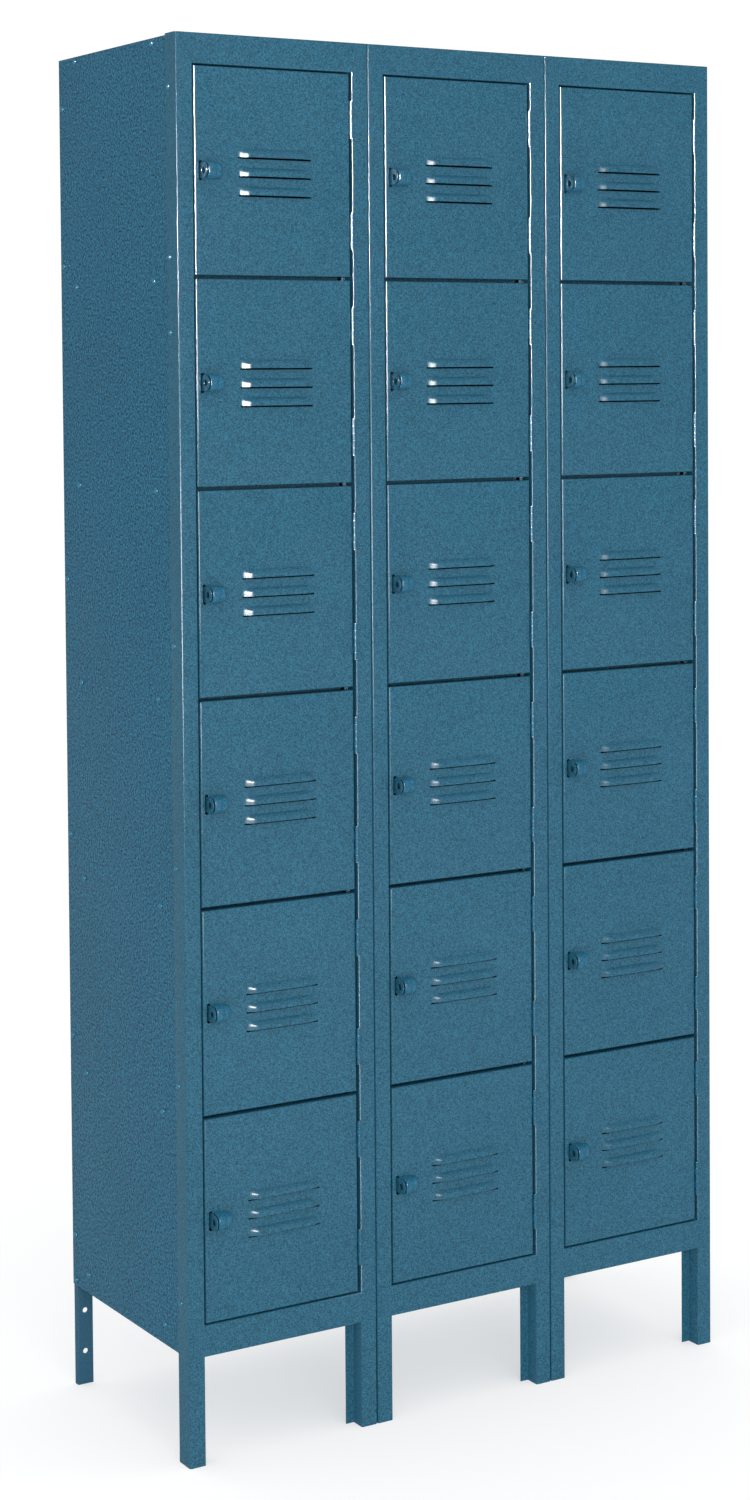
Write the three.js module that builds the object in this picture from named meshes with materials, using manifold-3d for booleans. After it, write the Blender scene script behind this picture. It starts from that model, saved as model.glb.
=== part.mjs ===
// Steel box locker: three welded front frames on legs, six doors in each, bolted sheet-metal body.
// Millimetres, +Z up. The doors face -Y. The origin is on the floor, at the middle of the whole outline.

import * as THREE from 'three';
import { mergeVertices } from 'three/addons/utils/BufferGeometryUtils.js';
import Module from 'manifold-3d';

const wasm = await Module();
wasm.setup();

// Driving dimensions: the whole cabinet.
const WIDTH = 914.4;
const DEPTH = 381;
const HEIGHT = 1981.2;
const LEG_HEIGHT = 152.4;
const BAY_LETTERS = ['A', 'B', 'C'];
const TIERS = 6;

// Sheet gauges and working gaps.
const FRAME_GAUGE = 1.5;
const DOOR_GAUGE = 1.2;
const SHELF_GAUGE = 1.0;
const PANEL_GAUGE = 0.9;
const GAP = 0.3;
const CUT_PAST = 1;
const FRAME_SPACING = PANEL_GAUGE + 2 * GAP;

// Points that a join leaves closer together than this on a flat face are merged.
const CLEAN_UP = 0.002;

// Front frame section: outer flange, face, return towards the back, strike lip behind the door.
const SIDE_FLANGE = 31.75;
const POST_FACE = 25.4;
const RETURN_DEPTH = 25;
const STRIKE_LIP = 12.7;
const LUG_SIDE_LIP = 10;
const TOP_RAIL = 42;
const BOTTOM_RAIL = 44.4;
const CROSS_RAIL_BELOW = 14;
const CROSS_RAIL_ABOVE = 12;
const SHELF_LEDGE = 14;

// Doors.
const DOOR_DEPTH = 22;
const DOOR_GAP_LEFT = 2;
const DOOR_GAP_RIGHT = 5;
const DOOR_GAP_BETWEEN = 5;
const LUG_SLOT = { start: 8, width: 5.2, height: 28 };
const LOUVER = { count: 3, pitch: 26, start: 68, length: 115, height: 12 };
const LOUVER_PRESS = { proud: 5.5, taper: 7, topProud: 0.2 };

// Padlock lug on the frame, and the hood-shaped pull on the door.
const LUG = { start: 10.5, thickness: 2, height: 22, proud: 19, noseSteps: 4, footReach: 6 };
const LUG_EYE = { radius: 4.75, centre: 9, sides: 6 };
const PULL = { start: 13.6, length: 34, height: 24, proud: 20.5, gauge: 1.3 };
const PULL_SHAPE = { steps: 4, roundness: 0.7, least: 0.4 };
const PULL_STATIONS = [
  { along: 0, proud: 1, tall: 1 },
  { along: 0.4, proud: 0.97, tall: 0.94 },
  { along: 0.75, proud: 0.66, tall: 0.8 },
  { along: 1, proud: 0.14, tall: 0.5 },
];

// Hinges: barrel in front of the gap on the right of each door.
const BARREL_RADIUS = 2.6;
const PIN_RADIUS = 1.2;
const BORE_RADIUS = 1.5;
const HINGE_LENGTH = 50.8;
const HINGE_INSET = 39;
const KNUCKLE_GAP = 0.4;
const LEAF_GAUGE = 1.2;
const LEAF_DEPTH = 20;
const BARREL_FORWARD = 1.6;
const HINGE_SIDES = 6;

// Body sheets and rear legs.
const SHELF_FLANGE = 15;
const REAR_FLANGE = 15;
const SHELF_INSET = 3;
const REAR_LEG = { web: 25, side: 10.2, setIn: 11, overlap: 75, weldDepth: 0.1, room: 28 };
const REAR_LEG_HOLES = { heights: [50, 112], radius: 4, sides: 8, cutLength: 10 };
const DIVIDER_SET_BACK = 3;

// Worked-out planes.
const bayWidth = (WIDTH - (BAY_LETTERS.length - 1) * FRAME_SPACING) / BAY_LETTERS.length;
const faceY = (PULL.proud + GAP - DEPTH) / 2;
const backY = faceY + DEPTH;
const strikeY = faceY + RETURN_DEPTH;
const shelfFrontY = strikeY + GAP;
const backSheetY = backY - 2 * PANEL_GAUGE - GAP;
const doorsBottomZ = LEG_HEIGHT + BOTTOM_RAIL;
const doorsTopZ = HEIGHT - TOP_RAIL;
const tierPitch = (doorsTopZ - doorsBottomZ) / TIERS;
const bottomSheetZ = LEG_HEIGHT + FRAME_GAUGE + GAP;
const topSheetZ = HEIGHT - FRAME_GAUGE - GAP - PANEL_GAUGE;

function solidOf(geometry) {
  const bare = geometry.clone();
  bare.deleteAttribute('normal');
  bare.deleteAttribute('uv');
  const merged = mergeVertices(bare, 1e-4);
  const vertProperties = new Float32Array(merged.attributes.position.array);
  const triVerts = new Uint32Array(merged.index.array);
  return new wasm.Manifold(new wasm.Mesh({ numProp: 3, vertProperties, triVerts }));
}

function geometryOf(solid) {
  const mesh = solid.asOriginal().simplify(CLEAN_UP).getMesh();
  const geometry = new THREE.BufferGeometry();
  geometry.setAttribute('position', new THREE.BufferAttribute(mesh.vertProperties, 3));
  geometry.setIndex(new THREE.BufferAttribute(mesh.triVerts, 1));
  return geometry;
}

// Moves the two ends of a centred unit shape exactly onto two planes, so neighbours share them to the bit.
function stretch(geometry, axis, ends) {
  const low = Math.min(...ends);
  const high = Math.max(...ends);
  const positions = geometry.attributes.position;
  for (let i = 0; i < positions.count; i += 1) {
    positions.setComponent(i, axis, positions.getComponent(i, axis) < 0 ? low : high);
  }
}

function block(...spans) {
  const geometry = new THREE.BoxGeometry(1, 1, 1);
  spans.forEach((span, axis) => stretch(geometry, axis, span));
  return solidOf(geometry);
}

function joined(solids) {
  return solids.reduce((whole, next) => whole.add(next));
}

// A round bar along Z.
function bar(x, y, span, radius) {
  const geometry = new THREE.CylinderGeometry(radius, radius, 1, HINGE_SIDES);
  geometry.rotateX(Math.PI / 2);
  geometry.translate(x, y, 0);
  stretch(geometry, 2, span);
  return solidOf(geometry);
}

// A flat outline in the Y-Z plane, pushed along +X.
function sidewaysPlate(outline, x, thickness) {
  const shape = new THREE.Shape(outline.map(([y, z]) => new THREE.Vector2(y, z)));
  const geometry = new THREE.ExtrudeGeometry(shape, { depth: thickness, bevelEnabled: false });
  geometry.applyMatrix4(new THREE.Matrix4().set(0, 0, 1, x, 1, 0, 0, 0, 0, 1, 0, 0, 0, 0, 0, 1));
  return solidOf(geometry);
}

// A closed body through rings of points, each ring with the same number of points and
// running anticlockwise when it is looked at from the last ring.
function loft(rings) {
  const count = rings[0].length;
  const positions = rings.flat(2);
  const index = [];
  for (let ring = 0; ring < rings.length - 1; ring += 1) {
    for (let i = 0; i < count; i += 1) {
      const a = ring * count + i;
      const b = ring * count + ((i + 1) % count);
      index.push(a, b, a + count);
      index.push(b, b + count, a + count);
    }
  }
  const last = (rings.length - 1) * count;
  for (let i = 1; i < count - 1; i += 1) {
    index.push(0, i + 1, i);
    index.push(last, last + i, last + i + 1);
  }
  const geometry = new THREE.BufferGeometry();
  geometry.setAttribute('position', new THREE.Float32BufferAttribute(positions, 3));
  geometry.setIndex(index);
  return solidOf(geometry);
}

function paint({ color, roughness }) {
  return new THREE.MeshStandardMaterial({ color, roughness, metalness: 0.1 });
}

const frameEnamel = { color: 0x3e6c87, roughness: 0.42 };
const doorEnamel = { color: 0x3f6f8b, roughness: 0.42 };
const pullEnamel = { color: 0x44748f, roughness: 0.36 };
const shelfEnamel = { color: 0x3a667f, roughness: 0.48 };
const sideEnamel = { color: 0x376380, roughness: 0.45 };
const bodyEnamel = { color: 0x375f78, roughness: 0.48 };

const cabinet = new THREE.Group();

function addPiece(name, solid, material) {
  const mesh = new THREE.Mesh(geometryOf(solid), material);
  mesh.name = name;
  cabinet.add(mesh);
}

function bayStart(bay) {
  return -WIDTH / 2 + bay * (bayWidth + FRAME_SPACING);
}

function bayEnd(bay) {
  return bayStart(bay) + bayWidth;
}

// Tier 0 is the top one. The seam below a tier is the line between two doors.
function tierTop(tier) {
  return doorsTopZ - tier * tierPitch;
}

function tierMiddle(tier) {
  return tierTop(tier) - tierPitch / 2;
}

function hingeSpans(tier) {
  const doorTop = tierTop(tier) - DOOR_GAP_BETWEEN / 2;
  const doorBottom = doorTop - tierPitch + DOOR_GAP_BETWEEN;
  return [
    [doorBottom + HINGE_INSET, doorBottom + HINGE_INSET + HINGE_LENGTH],
    [doorTop - HINGE_INSET - HINGE_LENGTH, doorTop - HINGE_INSET],
  ];
}

function hingeAxis(bay) {
  return { x: bayEnd(bay) - POST_FACE - DOOR_GAP_RIGHT / 2, y: faceY - BARREL_FORWARD };
}

// One post with its leg, from the floor to the top. `turn` is 1 for a left post and -1 for a right one.
function post(outerX, turn) {
  const heights = [0, HEIGHT];
  const webX = outerX + turn * POST_FACE;
  const lipX = webX + turn * (turn > 0 ? LUG_SIDE_LIP : STRIKE_LIP);
  return joined([
    block([outerX, outerX + turn * FRAME_GAUGE], [faceY, faceY + SIDE_FLANGE], heights),
    block([outerX, webX], [faceY, faceY + FRAME_GAUGE], heights),
    block([webX - turn * FRAME_GAUGE, webX], [faceY, strikeY], heights),
    block([webX - turn * FRAME_GAUGE, lipX], [strikeY - FRAME_GAUGE, strikeY], heights),
  ]);
}

// Top or bottom rail. `turn` is 1 where the opening is above the rail and -1 where it is below.
function endRail(bay, outerZ, turn, railHeight) {
  const across = [bayStart(bay) + FRAME_GAUGE / 2, bayEnd(bay) - FRAME_GAUGE / 2];
  const openingZ = outerZ + turn * railHeight;
  const lip = turn * (STRIKE_LIP - DOOR_GAP_BETWEEN);
  const between = [bayStart(bay) + POST_FACE - FRAME_GAUGE / 2, bayEnd(bay) - POST_FACE + FRAME_GAUGE / 2];
  const inside = [bayStart(bay) + SHELF_INSET, bayEnd(bay) - SHELF_INSET];
  return joined([
    block(inside, [faceY, faceY + SIDE_FLANGE], [outerZ, outerZ + turn * FRAME_GAUGE]),
    block(across, [faceY, faceY + FRAME_GAUGE], [outerZ, openingZ]),
    block(between, [faceY, strikeY], [openingZ - turn * FRAME_GAUGE, openingZ]),
    block(between, [strikeY - FRAME_GAUGE, strikeY], [openingZ - turn * FRAME_GAUGE, openingZ + lip]),
  ]);
}

// The rail behind the seam between two doors, with the ledge that carries the shelf.
function crossRail(bay, seamZ) {
  const across = [bayStart(bay) + POST_FACE + LUG_SIDE_LIP / 2, bayEnd(bay) - POST_FACE - STRIKE_LIP / 2];
  const topZ = seamZ + CROSS_RAIL_ABOVE;
  const strip = block(across, [strikeY - FRAME_GAUGE, strikeY], [seamZ - CROSS_RAIL_BELOW, topZ]);
  const ledge = block(across, [strikeY - FRAME_GAUGE, strikeY + SHELF_LEDGE], [topZ - FRAME_GAUGE, topZ]);
  return strip.add(ledge);
}

// Padlock lug: a rounded plate that stands through the slot in the door. Its foot is bent towards
// the post and welded behind the strike lip.
function lug(bay, tier) {
  const middleZ = tierMiddle(tier);
  const half = LUG.height / 2;
  const noseY = faceY - LUG.proud + half;
  const rootY = strikeY + FRAME_GAUGE;
  const outline = [[rootY, middleZ - half], [rootY, middleZ + half]];
  for (let i = 0; i <= LUG.noseSteps; i += 1) {
    const angle = Math.PI / 2 + (Math.PI * i) / LUG.noseSteps;
    outline.push([noseY + half * Math.cos(angle), middleZ + half * Math.sin(angle)]);
  }
  const eye = [];
  for (let i = 0; i < LUG_EYE.sides; i += 1) {
    const angle = (2 * Math.PI * i) / LUG_EYE.sides;
    const y = faceY - LUG_EYE.centre + LUG_EYE.radius * Math.cos(angle);
    eye.push([y, middleZ + LUG_EYE.radius * Math.sin(angle)]);
  }
  const x = bayStart(bay) + POST_FACE + LUG.start;
  const hole = sidewaysPlate(eye, x - CUT_PAST, LUG.thickness + 2 * CUT_PAST);
  const footDepth = [strikeY - FRAME_GAUGE / 2, strikeY + FRAME_GAUGE];
  const foot = block([x - LUG.footReach, x + LUG.thickness], footDepth, [middleZ - half, middleZ + half]);
  return sidewaysPlate(outline, x, LUG.thickness).subtract(hole).add(foot);
}

// Frame half of a hinge: a knuckle at each end, the pin through all of them and a leaf welded to the post.
function frameHinge(bay, [z0, z1]) {
  const { x, y } = hingeAxis(bay);
  const knuckle = (z1 - z0 - 2 * KNUCKLE_GAP) / 3;
  const webX = bayEnd(bay) - POST_FACE;
  const pieces = [bar(x, y, [z0, z1], PIN_RADIUS)];
  for (const span of [[z0, z0 + knuckle], [z1 - knuckle, z1]]) {
    pieces.push(bar(x, y, span, BARREL_RADIUS));
    pieces.push(block([webX - LEAF_GAUGE, webX + FRAME_GAUGE / 2], [y, faceY + LEAF_DEPTH], span));
  }
  return joined(pieces);
}

// Door half of a hinge: the middle knuckle with its leaf. The bore is cut afterwards.
function doorHinge(bay, [z0, z1]) {
  const { x, y } = hingeAxis(bay);
  const knuckle = (z1 - z0 - 2 * KNUCKLE_GAP) / 3;
  const span = [z0 + knuckle + KNUCKLE_GAP, z1 - knuckle - KNUCKLE_GAP];
  const edgeX = bayEnd(bay) - POST_FACE - DOOR_GAP_RIGHT;
  const leaf = block([edgeX - DOOR_GAUGE / 2, edgeX + LEAF_GAUGE], [y, faceY + LEAF_DEPTH], span);
  return bar(x, y, span, BARREL_RADIUS).add(leaf);
}

// A front frame is one welded body, with its lugs and its halves of the hinges on it.
function frontFrame(bay) {
  const pieces = [post(bayStart(bay), 1), post(bayEnd(bay), -1)];
  pieces.push(endRail(bay, HEIGHT, -1, TOP_RAIL));
  pieces.push(endRail(bay, LEG_HEIGHT, 1, BOTTOM_RAIL));
  for (let tier = 0; tier < TIERS; tier += 1) {
    if (tier > 0) pieces.push(crossRail(bay, tierTop(tier)));
    pieces.push(lug(bay, tier));
    for (const span of hingeSpans(tier)) pieces.push(frameHinge(bay, span));
  }
  return joined(pieces);
}

// One louver: a pressed hood, widest and proudest along its bottom edge.
function louverHood(x0, bottomZ) {
  const x1 = x0 + LOUVER.length;
  const rootY = faceY + DOOR_GAUGE / 2;
  const frontX0 = x0 + LOUVER_PRESS.taper;
  const frontX1 = x1 - LOUVER_PRESS.taper;
  const ring = (y, z) => [[frontX0, y, z], [frontX1, y, z], [x1, rootY, z], [x0, rootY, z]];
  const low = ring(faceY - LOUVER_PRESS.proud, bottomZ);
  const high = ring(faceY - LOUVER_PRESS.topProud, bottomZ + LOUVER.height);
  return loft([low, high]);
}

function door(bay, tier) {
  const x0 = bayStart(bay) + POST_FACE + DOOR_GAP_LEFT;
  const x1 = bayEnd(bay) - POST_FACE - DOOR_GAP_RIGHT;
  const z1 = tierTop(tier) - DOOR_GAP_BETWEEN / 2;
  const z0 = z1 - tierPitch + DOOR_GAP_BETWEEN;
  const middleZ = tierMiddle(tier);
  const outside = block([x0, x1], [faceY, faceY + DOOR_DEPTH], [z0, z1]);
  const hollowDepth = [faceY + DOOR_GAUGE, faceY + DOOR_DEPTH + CUT_PAST];
  const inside = block([x0 + DOOR_GAUGE, x1 - DOOR_GAUGE], hollowDepth, [z0 + DOOR_GAUGE, z1 - DOOR_GAUGE]);
  let whole = outside.subtract(inside);
  for (let i = 0; i < LOUVER.count; i += 1) {
    const bottomZ = middleZ + (i - (LOUVER.count - 1) / 2) * LOUVER.pitch - LOUVER.height / 2;
    whole = whole.add(louverHood(x0 + LOUVER.start, bottomZ));
  }
  const slotX = bayStart(bay) + POST_FACE + LUG_SLOT.start;
  const slotHalf = LUG_SLOT.height / 2;
  const slotDepth = [faceY - CUT_PAST, faceY + DOOR_GAUGE + CUT_PAST];
  const slotSpan = [middleZ - slotHalf, middleZ + slotHalf];
  whole = whole.subtract(block([slotX, slotX + LUG_SLOT.width], slotDepth, slotSpan));
  const { x, y } = hingeAxis(bay);
  for (const span of hingeSpans(tier)) {
    whole = whole.add(doorHinge(bay, span));
    whole = whole.subtract(bar(x, y, span, BORE_RADIUS));
  }
  return whole;
}

// The pull is a hood with its mouth towards the lug, falling away to the door on its right.
// `inset` is 0 for the outside and the gauge for the hollow, which is cut past the mouth and the base.
function pullBody(x0, middleZ, inset) {
  const past = inset > 0 ? CUT_PAST : 0;
  const baseY = faceY - GAP + past;
  const rings = PULL_STATIONS.map(({ along, proud, tall }) => {
    const x = x0 + along * (PULL.length - inset) - (along === 0 ? past : 0);
    const half = (PULL.height * tall) / 2 - inset;
    const out = Math.max(PULL.proud * proud - inset, PULL_SHAPE.least);
    const ring = [[x, baseY, middleZ + half]];
    for (let i = 0; i <= PULL_SHAPE.steps; i += 1) {
      const angle = (Math.PI * i) / PULL_SHAPE.steps;
      const rise = Math.max(out * Math.sin(angle) ** PULL_SHAPE.roundness, PULL_SHAPE.least / 4);
      ring.push([x, faceY - GAP - rise, middleZ + half * Math.cos(angle)]);
    }
    ring.push([x, baseY, middleZ - half]);
    return ring;
  });
  return loft(rings);
}

function pull(bay, tier) {
  const x0 = bayStart(bay) + POST_FACE + PULL.start;
  const middleZ = tierMiddle(tier);
  return pullBody(x0, middleZ, 0).subtract(pullBody(x0, middleZ, PULL.gauge));
}

// A shelf: a flat sheet with its sides and its back edge turned down.
function shelf(bay, tier) {
  const x0 = bayStart(bay) + SHELF_INSET;
  const x1 = bayEnd(bay) - SHELF_INSET;
  const z = tierTop(tier) + CROSS_RAIL_ABOVE + GAP;
  const rearY = backSheetY - GAP;
  const top = z + SHELF_GAUGE;
  return joined([
    block([x0, x1], [shelfFrontY, rearY], [z, top]),
    block([x0, x0 + SHELF_GAUGE], [faceY + SIDE_FLANGE + GAP, rearY], [top - SHELF_FLANGE, top]),
    block([x1 - SHELF_GAUGE, x1], [faceY + SIDE_FLANGE + GAP, rearY], [top - SHELF_FLANGE, top]),
    block([x0, x1], [rearY - SHELF_GAUGE, rearY], [top - SHELF_FLANGE, top]),
  ]);
}

// An outer side: the panel with its rear edge turned in, and the rear leg fixed inside it.
// `turn` is 1 on the left and -1 on the right.
function sidePanel(outerX, turn) {
  const panelX = outerX + turn * (FRAME_GAUGE + GAP);
  const innerX = panelX + turn * PANEL_GAUGE;
  const heights = [LEG_HEIGHT, HEIGHT - FRAME_GAUGE - GAP];
  const legX = innerX - turn * REAR_LEG.weldDepth;
  const legY = backY - REAR_LEG.setIn;
  const legHeights = [0, LEG_HEIGHT + REAR_LEG.overlap];
  const frontY = faceY + FRAME_GAUGE + GAP;
  const legDepth = [legY - FRAME_GAUGE, legY - FRAME_GAUGE + REAR_LEG.side];
  let whole = joined([
    block([panelX, innerX], [frontY, backY], heights),
    block([panelX, panelX + turn * REAR_FLANGE], [backY - PANEL_GAUGE, backY], heights),
    block([legX, legX + turn * FRAME_GAUGE], legDepth, legHeights),
    block([legX, legX + turn * REAR_LEG.web], [legY - FRAME_GAUGE, legY], legHeights),
  ]);
  const { heights: holeHeights, radius, sides, cutLength } = REAR_LEG_HOLES;
  for (const z of holeHeights) {
    const hole = new THREE.CylinderGeometry(radius, radius, cutLength, sides);
    hole.translate(legX + (turn * REAR_LEG.web) / 2, legY, z);
    whole = whole.subtract(solidOf(hole));
  }
  return whole;
}

// A flat sheet across all bays, notched round the flanges of the posts that stand in its way.
function wideSheet([z0, z1], rearY) {
  const left = -WIDTH / 2 + SHELF_INSET;
  let sheet = block([left, -left], [shelfFrontY, rearY], [z0, z1]);
  for (let bay = 0; bay < BAY_LETTERS.length - 1; bay += 1) {
    const notch = [bayEnd(bay) - FRAME_GAUGE - GAP, bayStart(bay + 1) + FRAME_GAUGE + GAP];
    const depth = [shelfFrontY - CUT_PAST, faceY + SIDE_FLANGE + GAP];
    sheet = sheet.subtract(block(notch, depth, [z0 - CUT_PAST, z1 + CUT_PAST]));
  }
  return sheet;
}

// The bottom sheet is also notched round the two rear legs.
function bottomSheet() {
  let sheet = wideSheet([bottomSheetZ, bottomSheetZ + PANEL_GAUGE], backSheetY - GAP);
  const depth = [backY - REAR_LEG.setIn - FRAME_GAUGE - GAP, backY];
  const heights = [bottomSheetZ - CUT_PAST, bottomSheetZ + PANEL_GAUGE + CUT_PAST];
  for (const side of [-1, 1]) {
    const corner = (side * WIDTH) / 2;
    sheet = sheet.subtract(block([corner, corner - side * REAR_LEG.room], depth, heights));
  }
  return sheet;
}

// The back is one sheet, and its top edge is folded forwards to close the top.
function backAndTop() {
  const left = -WIDTH / 2 + SHELF_INSET;
  const back = block([left, -left], [backSheetY, backSheetY + PANEL_GAUGE],
    [LEG_HEIGHT, topSheetZ + PANEL_GAUGE]);
  return back.add(wideSheet([topSheetZ, topSheetZ + PANEL_GAUGE], backSheetY + PANEL_GAUGE));
}

function divider(bay) {
  const x = bayEnd(bay) + GAP;
  return block([x, x + PANEL_GAUGE], [faceY + DIVIDER_SET_BACK, backSheetY - GAP],
    [bottomSheetZ + PANEL_GAUGE + GAP, topSheetZ - GAP]);
}

BAY_LETTERS.forEach((letter, bay) => {
  addPiece(`front_frame_${letter}`, frontFrame(bay), paint(frameEnamel));
  for (let tier = 0; tier < TIERS; tier += 1) {
    addPiece(`door_${letter}${tier + 1}`, door(bay, tier), paint(doorEnamel));
    addPiece(`pull_${letter}${tier + 1}`, pull(bay, tier), paint(pullEnamel));
    if (tier > 0) addPiece(`shelf_${letter}${tier}`, shelf(bay, tier), paint(shelfEnamel));
  }
});
addPiece('side_panel_left', sidePanel(-WIDTH / 2, 1), paint(sideEnamel));
addPiece('side_panel_right', sidePanel(WIDTH / 2, -1), paint(sideEnamel));
addPiece('divider_AB', divider(0), paint(bodyEnamel));
addPiece('divider_BC', divider(1), paint(bodyEnamel));
addPiece('bottom_sheet', bottomSheet(), paint(bodyEnamel));
addPiece('back_and_top_sheet', backAndTop(), paint(bodyEnamel));

export default cabinet;
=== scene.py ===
import math

import bmesh
import bpy
from mathutils import Matrix, Vector


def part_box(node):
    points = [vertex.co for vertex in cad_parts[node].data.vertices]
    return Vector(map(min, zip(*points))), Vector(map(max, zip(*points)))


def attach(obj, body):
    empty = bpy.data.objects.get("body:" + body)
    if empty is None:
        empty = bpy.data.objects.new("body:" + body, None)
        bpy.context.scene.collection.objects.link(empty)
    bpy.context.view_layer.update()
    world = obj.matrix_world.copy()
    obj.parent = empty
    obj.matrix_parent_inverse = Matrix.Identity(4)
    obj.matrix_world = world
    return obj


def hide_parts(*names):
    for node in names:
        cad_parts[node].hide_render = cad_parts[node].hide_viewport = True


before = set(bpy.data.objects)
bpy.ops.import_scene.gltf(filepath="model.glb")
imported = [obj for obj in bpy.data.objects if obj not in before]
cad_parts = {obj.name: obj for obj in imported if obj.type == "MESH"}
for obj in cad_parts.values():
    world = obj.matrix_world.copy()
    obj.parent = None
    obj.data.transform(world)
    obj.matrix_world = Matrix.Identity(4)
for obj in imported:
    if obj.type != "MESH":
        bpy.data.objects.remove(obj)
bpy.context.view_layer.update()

# ---------------------------------------------------------------------------------------------
# The studio: a pale floor, an even white room that is dimmer in reflections, a broad soft light
# from the front, and two strips that only draw the bright lines along folds and corners.

ROOM_LIGHT = 1.03
ROOM_IN_REFLECTIONS = 0.20
EDGE_STRIP_SPREAD = 26.0
FLOOR_IN_REFLECTIONS = 0.32
FLOOR_GLOW = 0.53
FLOOR_HALF = 14.0
CAMERA_PLACE = (-2.1405, -3.4522, 1.513)
CAMERA_YAW = math.radians(-31.37)
CAMERA_PITCH = math.radians(-2.30)
CAMERA_ROLL = math.radians(-0.43)
CAMERA_LENS = 64.6
CAMERA_SHIFT_Y = -0.178


def light_panel(name, place, aim, size, power, glossy_only=False, spread=180.0):
    data = bpy.data.lights.new(name, "AREA")
    data.shape = "RECTANGLE"
    data.size, data.size_y = size
    data.energy = power
    data.spread = math.radians(spread)
    lamp = bpy.data.objects.new(name, data)
    lamp.location = place
    lamp.rotation_euler = (Vector(aim) - Vector(place)).to_track_quat("-Z", "Y").to_euler()
    lamp.visible_diffuse = not glossy_only
    bpy.context.scene.collection.objects.link(lamp)


def studio():
    world = bpy.data.worlds.new("studio_room")
    world.use_nodes = True
    nodes, links = world.node_tree.nodes, world.node_tree.links
    white = nodes["Background"]
    white.inputs["Color"].default_value = (1.0, 1.0, 1.0, 1.0)
    white.inputs["Strength"].default_value = ROOM_LIGHT
    dim = nodes.new("ShaderNodeBackground")
    dim.inputs["Color"].default_value = (1.0, 1.0, 1.0, 1.0)
    dim.inputs["Strength"].default_value = ROOM_IN_REFLECTIONS
    seen_by = nodes.new("ShaderNodeLightPath")
    choose = nodes.new("ShaderNodeMixShader")
    links.new(seen_by.outputs["Is Glossy Ray"], choose.inputs["Fac"])
    links.new(white.outputs["Background"], choose.inputs[1])
    links.new(dim.outputs["Background"], choose.inputs[2])
    links.new(choose.outputs["Shader"], nodes["World Output"].inputs["Surface"])
    bpy.context.scene.world = world
    light_panel("front_softbox", (-1.7, -4.4, 2.0), (0.0, 0.0, 0.8), (3.0, 2.2), 66.0)
    light_panel("edge_strip", (-3.2, -1.7, 2.2), (0.0, -0.1, 2.2), (0.8, 0.9), 30.0,
                glossy_only=True, spread=EDGE_STRIP_SPREAD)
    light_panel("front_strip", (-1.5, -4.4, 1.7), (0.0, -0.2, 1.4), (1.2, 1.8), 330.0, glossy_only=True)

    data = bpy.data.cameras.new("studio_camera")
    data.lens = CAMERA_LENS
    data.shift_y = CAMERA_SHIFT_Y
    camera = bpy.data.objects.new("studio_camera", data)
    turn = Matrix.Rotation(CAMERA_YAW, 4, "Z") @ Matrix.Rotation(math.pi / 2 + CAMERA_PITCH, 4, "X")
    camera.matrix_world = Matrix.Translation(CAMERA_PLACE) @ turn @ Matrix.Rotation(CAMERA_ROLL, 4, "Z")
    bpy.context.scene.collection.objects.link(camera)
    bpy.context.scene.camera = camera
    bpy.context.scene.view_settings.view_transform = "Standard"


def floor():
    mesh = bpy.data.meshes.new("studio_floor")
    half = FLOOR_HALF
    corners = [(-half, -half, 0), (half, -half, 0), (half, half, 0), (-half, half, 0)]
    mesh.from_pydata(corners, [], [(0, 1, 2, 3)])
    material = bpy.data.materials.new("pale_floor")
    material.use_nodes = True
    nodes, links = material.node_tree.nodes, material.node_tree.links
    shader = nodes["Principled BSDF"]
    shader.inputs["Base Color"].default_value = (0.5, 0.5, 0.5, 1.0)
    shader.inputs["Roughness"].default_value = 0.9
    shader.inputs["Specular IOR Level"].default_value = 0.0
    shader.inputs["Emission Color"].default_value = (1.0, 1.0, 1.0, 1.0)
    shader.inputs["Emission Strength"].default_value = FLOOR_GLOW
    dim = nodes.new("ShaderNodeBsdfDiffuse")
    level = FLOOR_IN_REFLECTIONS
    dim.inputs["Color"].default_value = (level, level, level, 1.0)
    seen_by = nodes.new("ShaderNodeLightPath")
    choose = nodes.new("ShaderNodeMixShader")
    links.new(seen_by.outputs["Is Glossy Ray"], choose.inputs["Fac"])
    links.new(shader.outputs["BSDF"], choose.inputs[1])
    links.new(dim.outputs["BSDF"], choose.inputs[2])
    links.new(choose.outputs["Shader"], nodes["Material Output"].inputs["Surface"])
    mesh.materials.append(material)
    ground = bpy.data.objects.new("studio_floor", mesh)
    bpy.context.scene.collection.objects.link(ground)


studio()
floor()

# ---------------------------------------------------------------------------------------------
# Front frames: one welded sheet-steel frame for each bay. Its folded channel section runs round
# the door opening and down into the two front legs, and it is painted after welding.

BAYS = ("A", "B", "C")
TIERS = 6
FRAME_GAUGE = 0.0015
FRAME_BEND = 0.0024
BEND_STEPS = 5
SIDE_FLANGE = 0.03175
POST_FACE = 0.0254
RETURN_DEPTH = 0.025
STRIKE_LIP = 0.0127
LUG_SIDE_LIP = 0.010
RAIL_LIP = 0.0077
LIP_BEND = 0.001
LUG_PROUD = 0.019
LEG_HEIGHT = 0.1524
TOP_RAIL = 0.042
BOTTOM_RAIL = 0.0444
SEAM_WIDTH = 0.0004
LAP_PROUD = 0.0004
LAP_INSET = 0.007

ENAMEL_FRONT = (0.0185, 0.1060, 0.1720)
ENAMEL_ROUGHNESS = 0.25
SPECKLE_DEPTH = 0.66
PEEL_STRENGTH = 0.22
PEEL_HEIGHT = 0.0004
PEEL_FINENESS = 620.0
WAVE_STRENGTH = 0.10
WAVE_HEIGHT = 0.004
WAVE_FINENESS = 3.2


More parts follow.
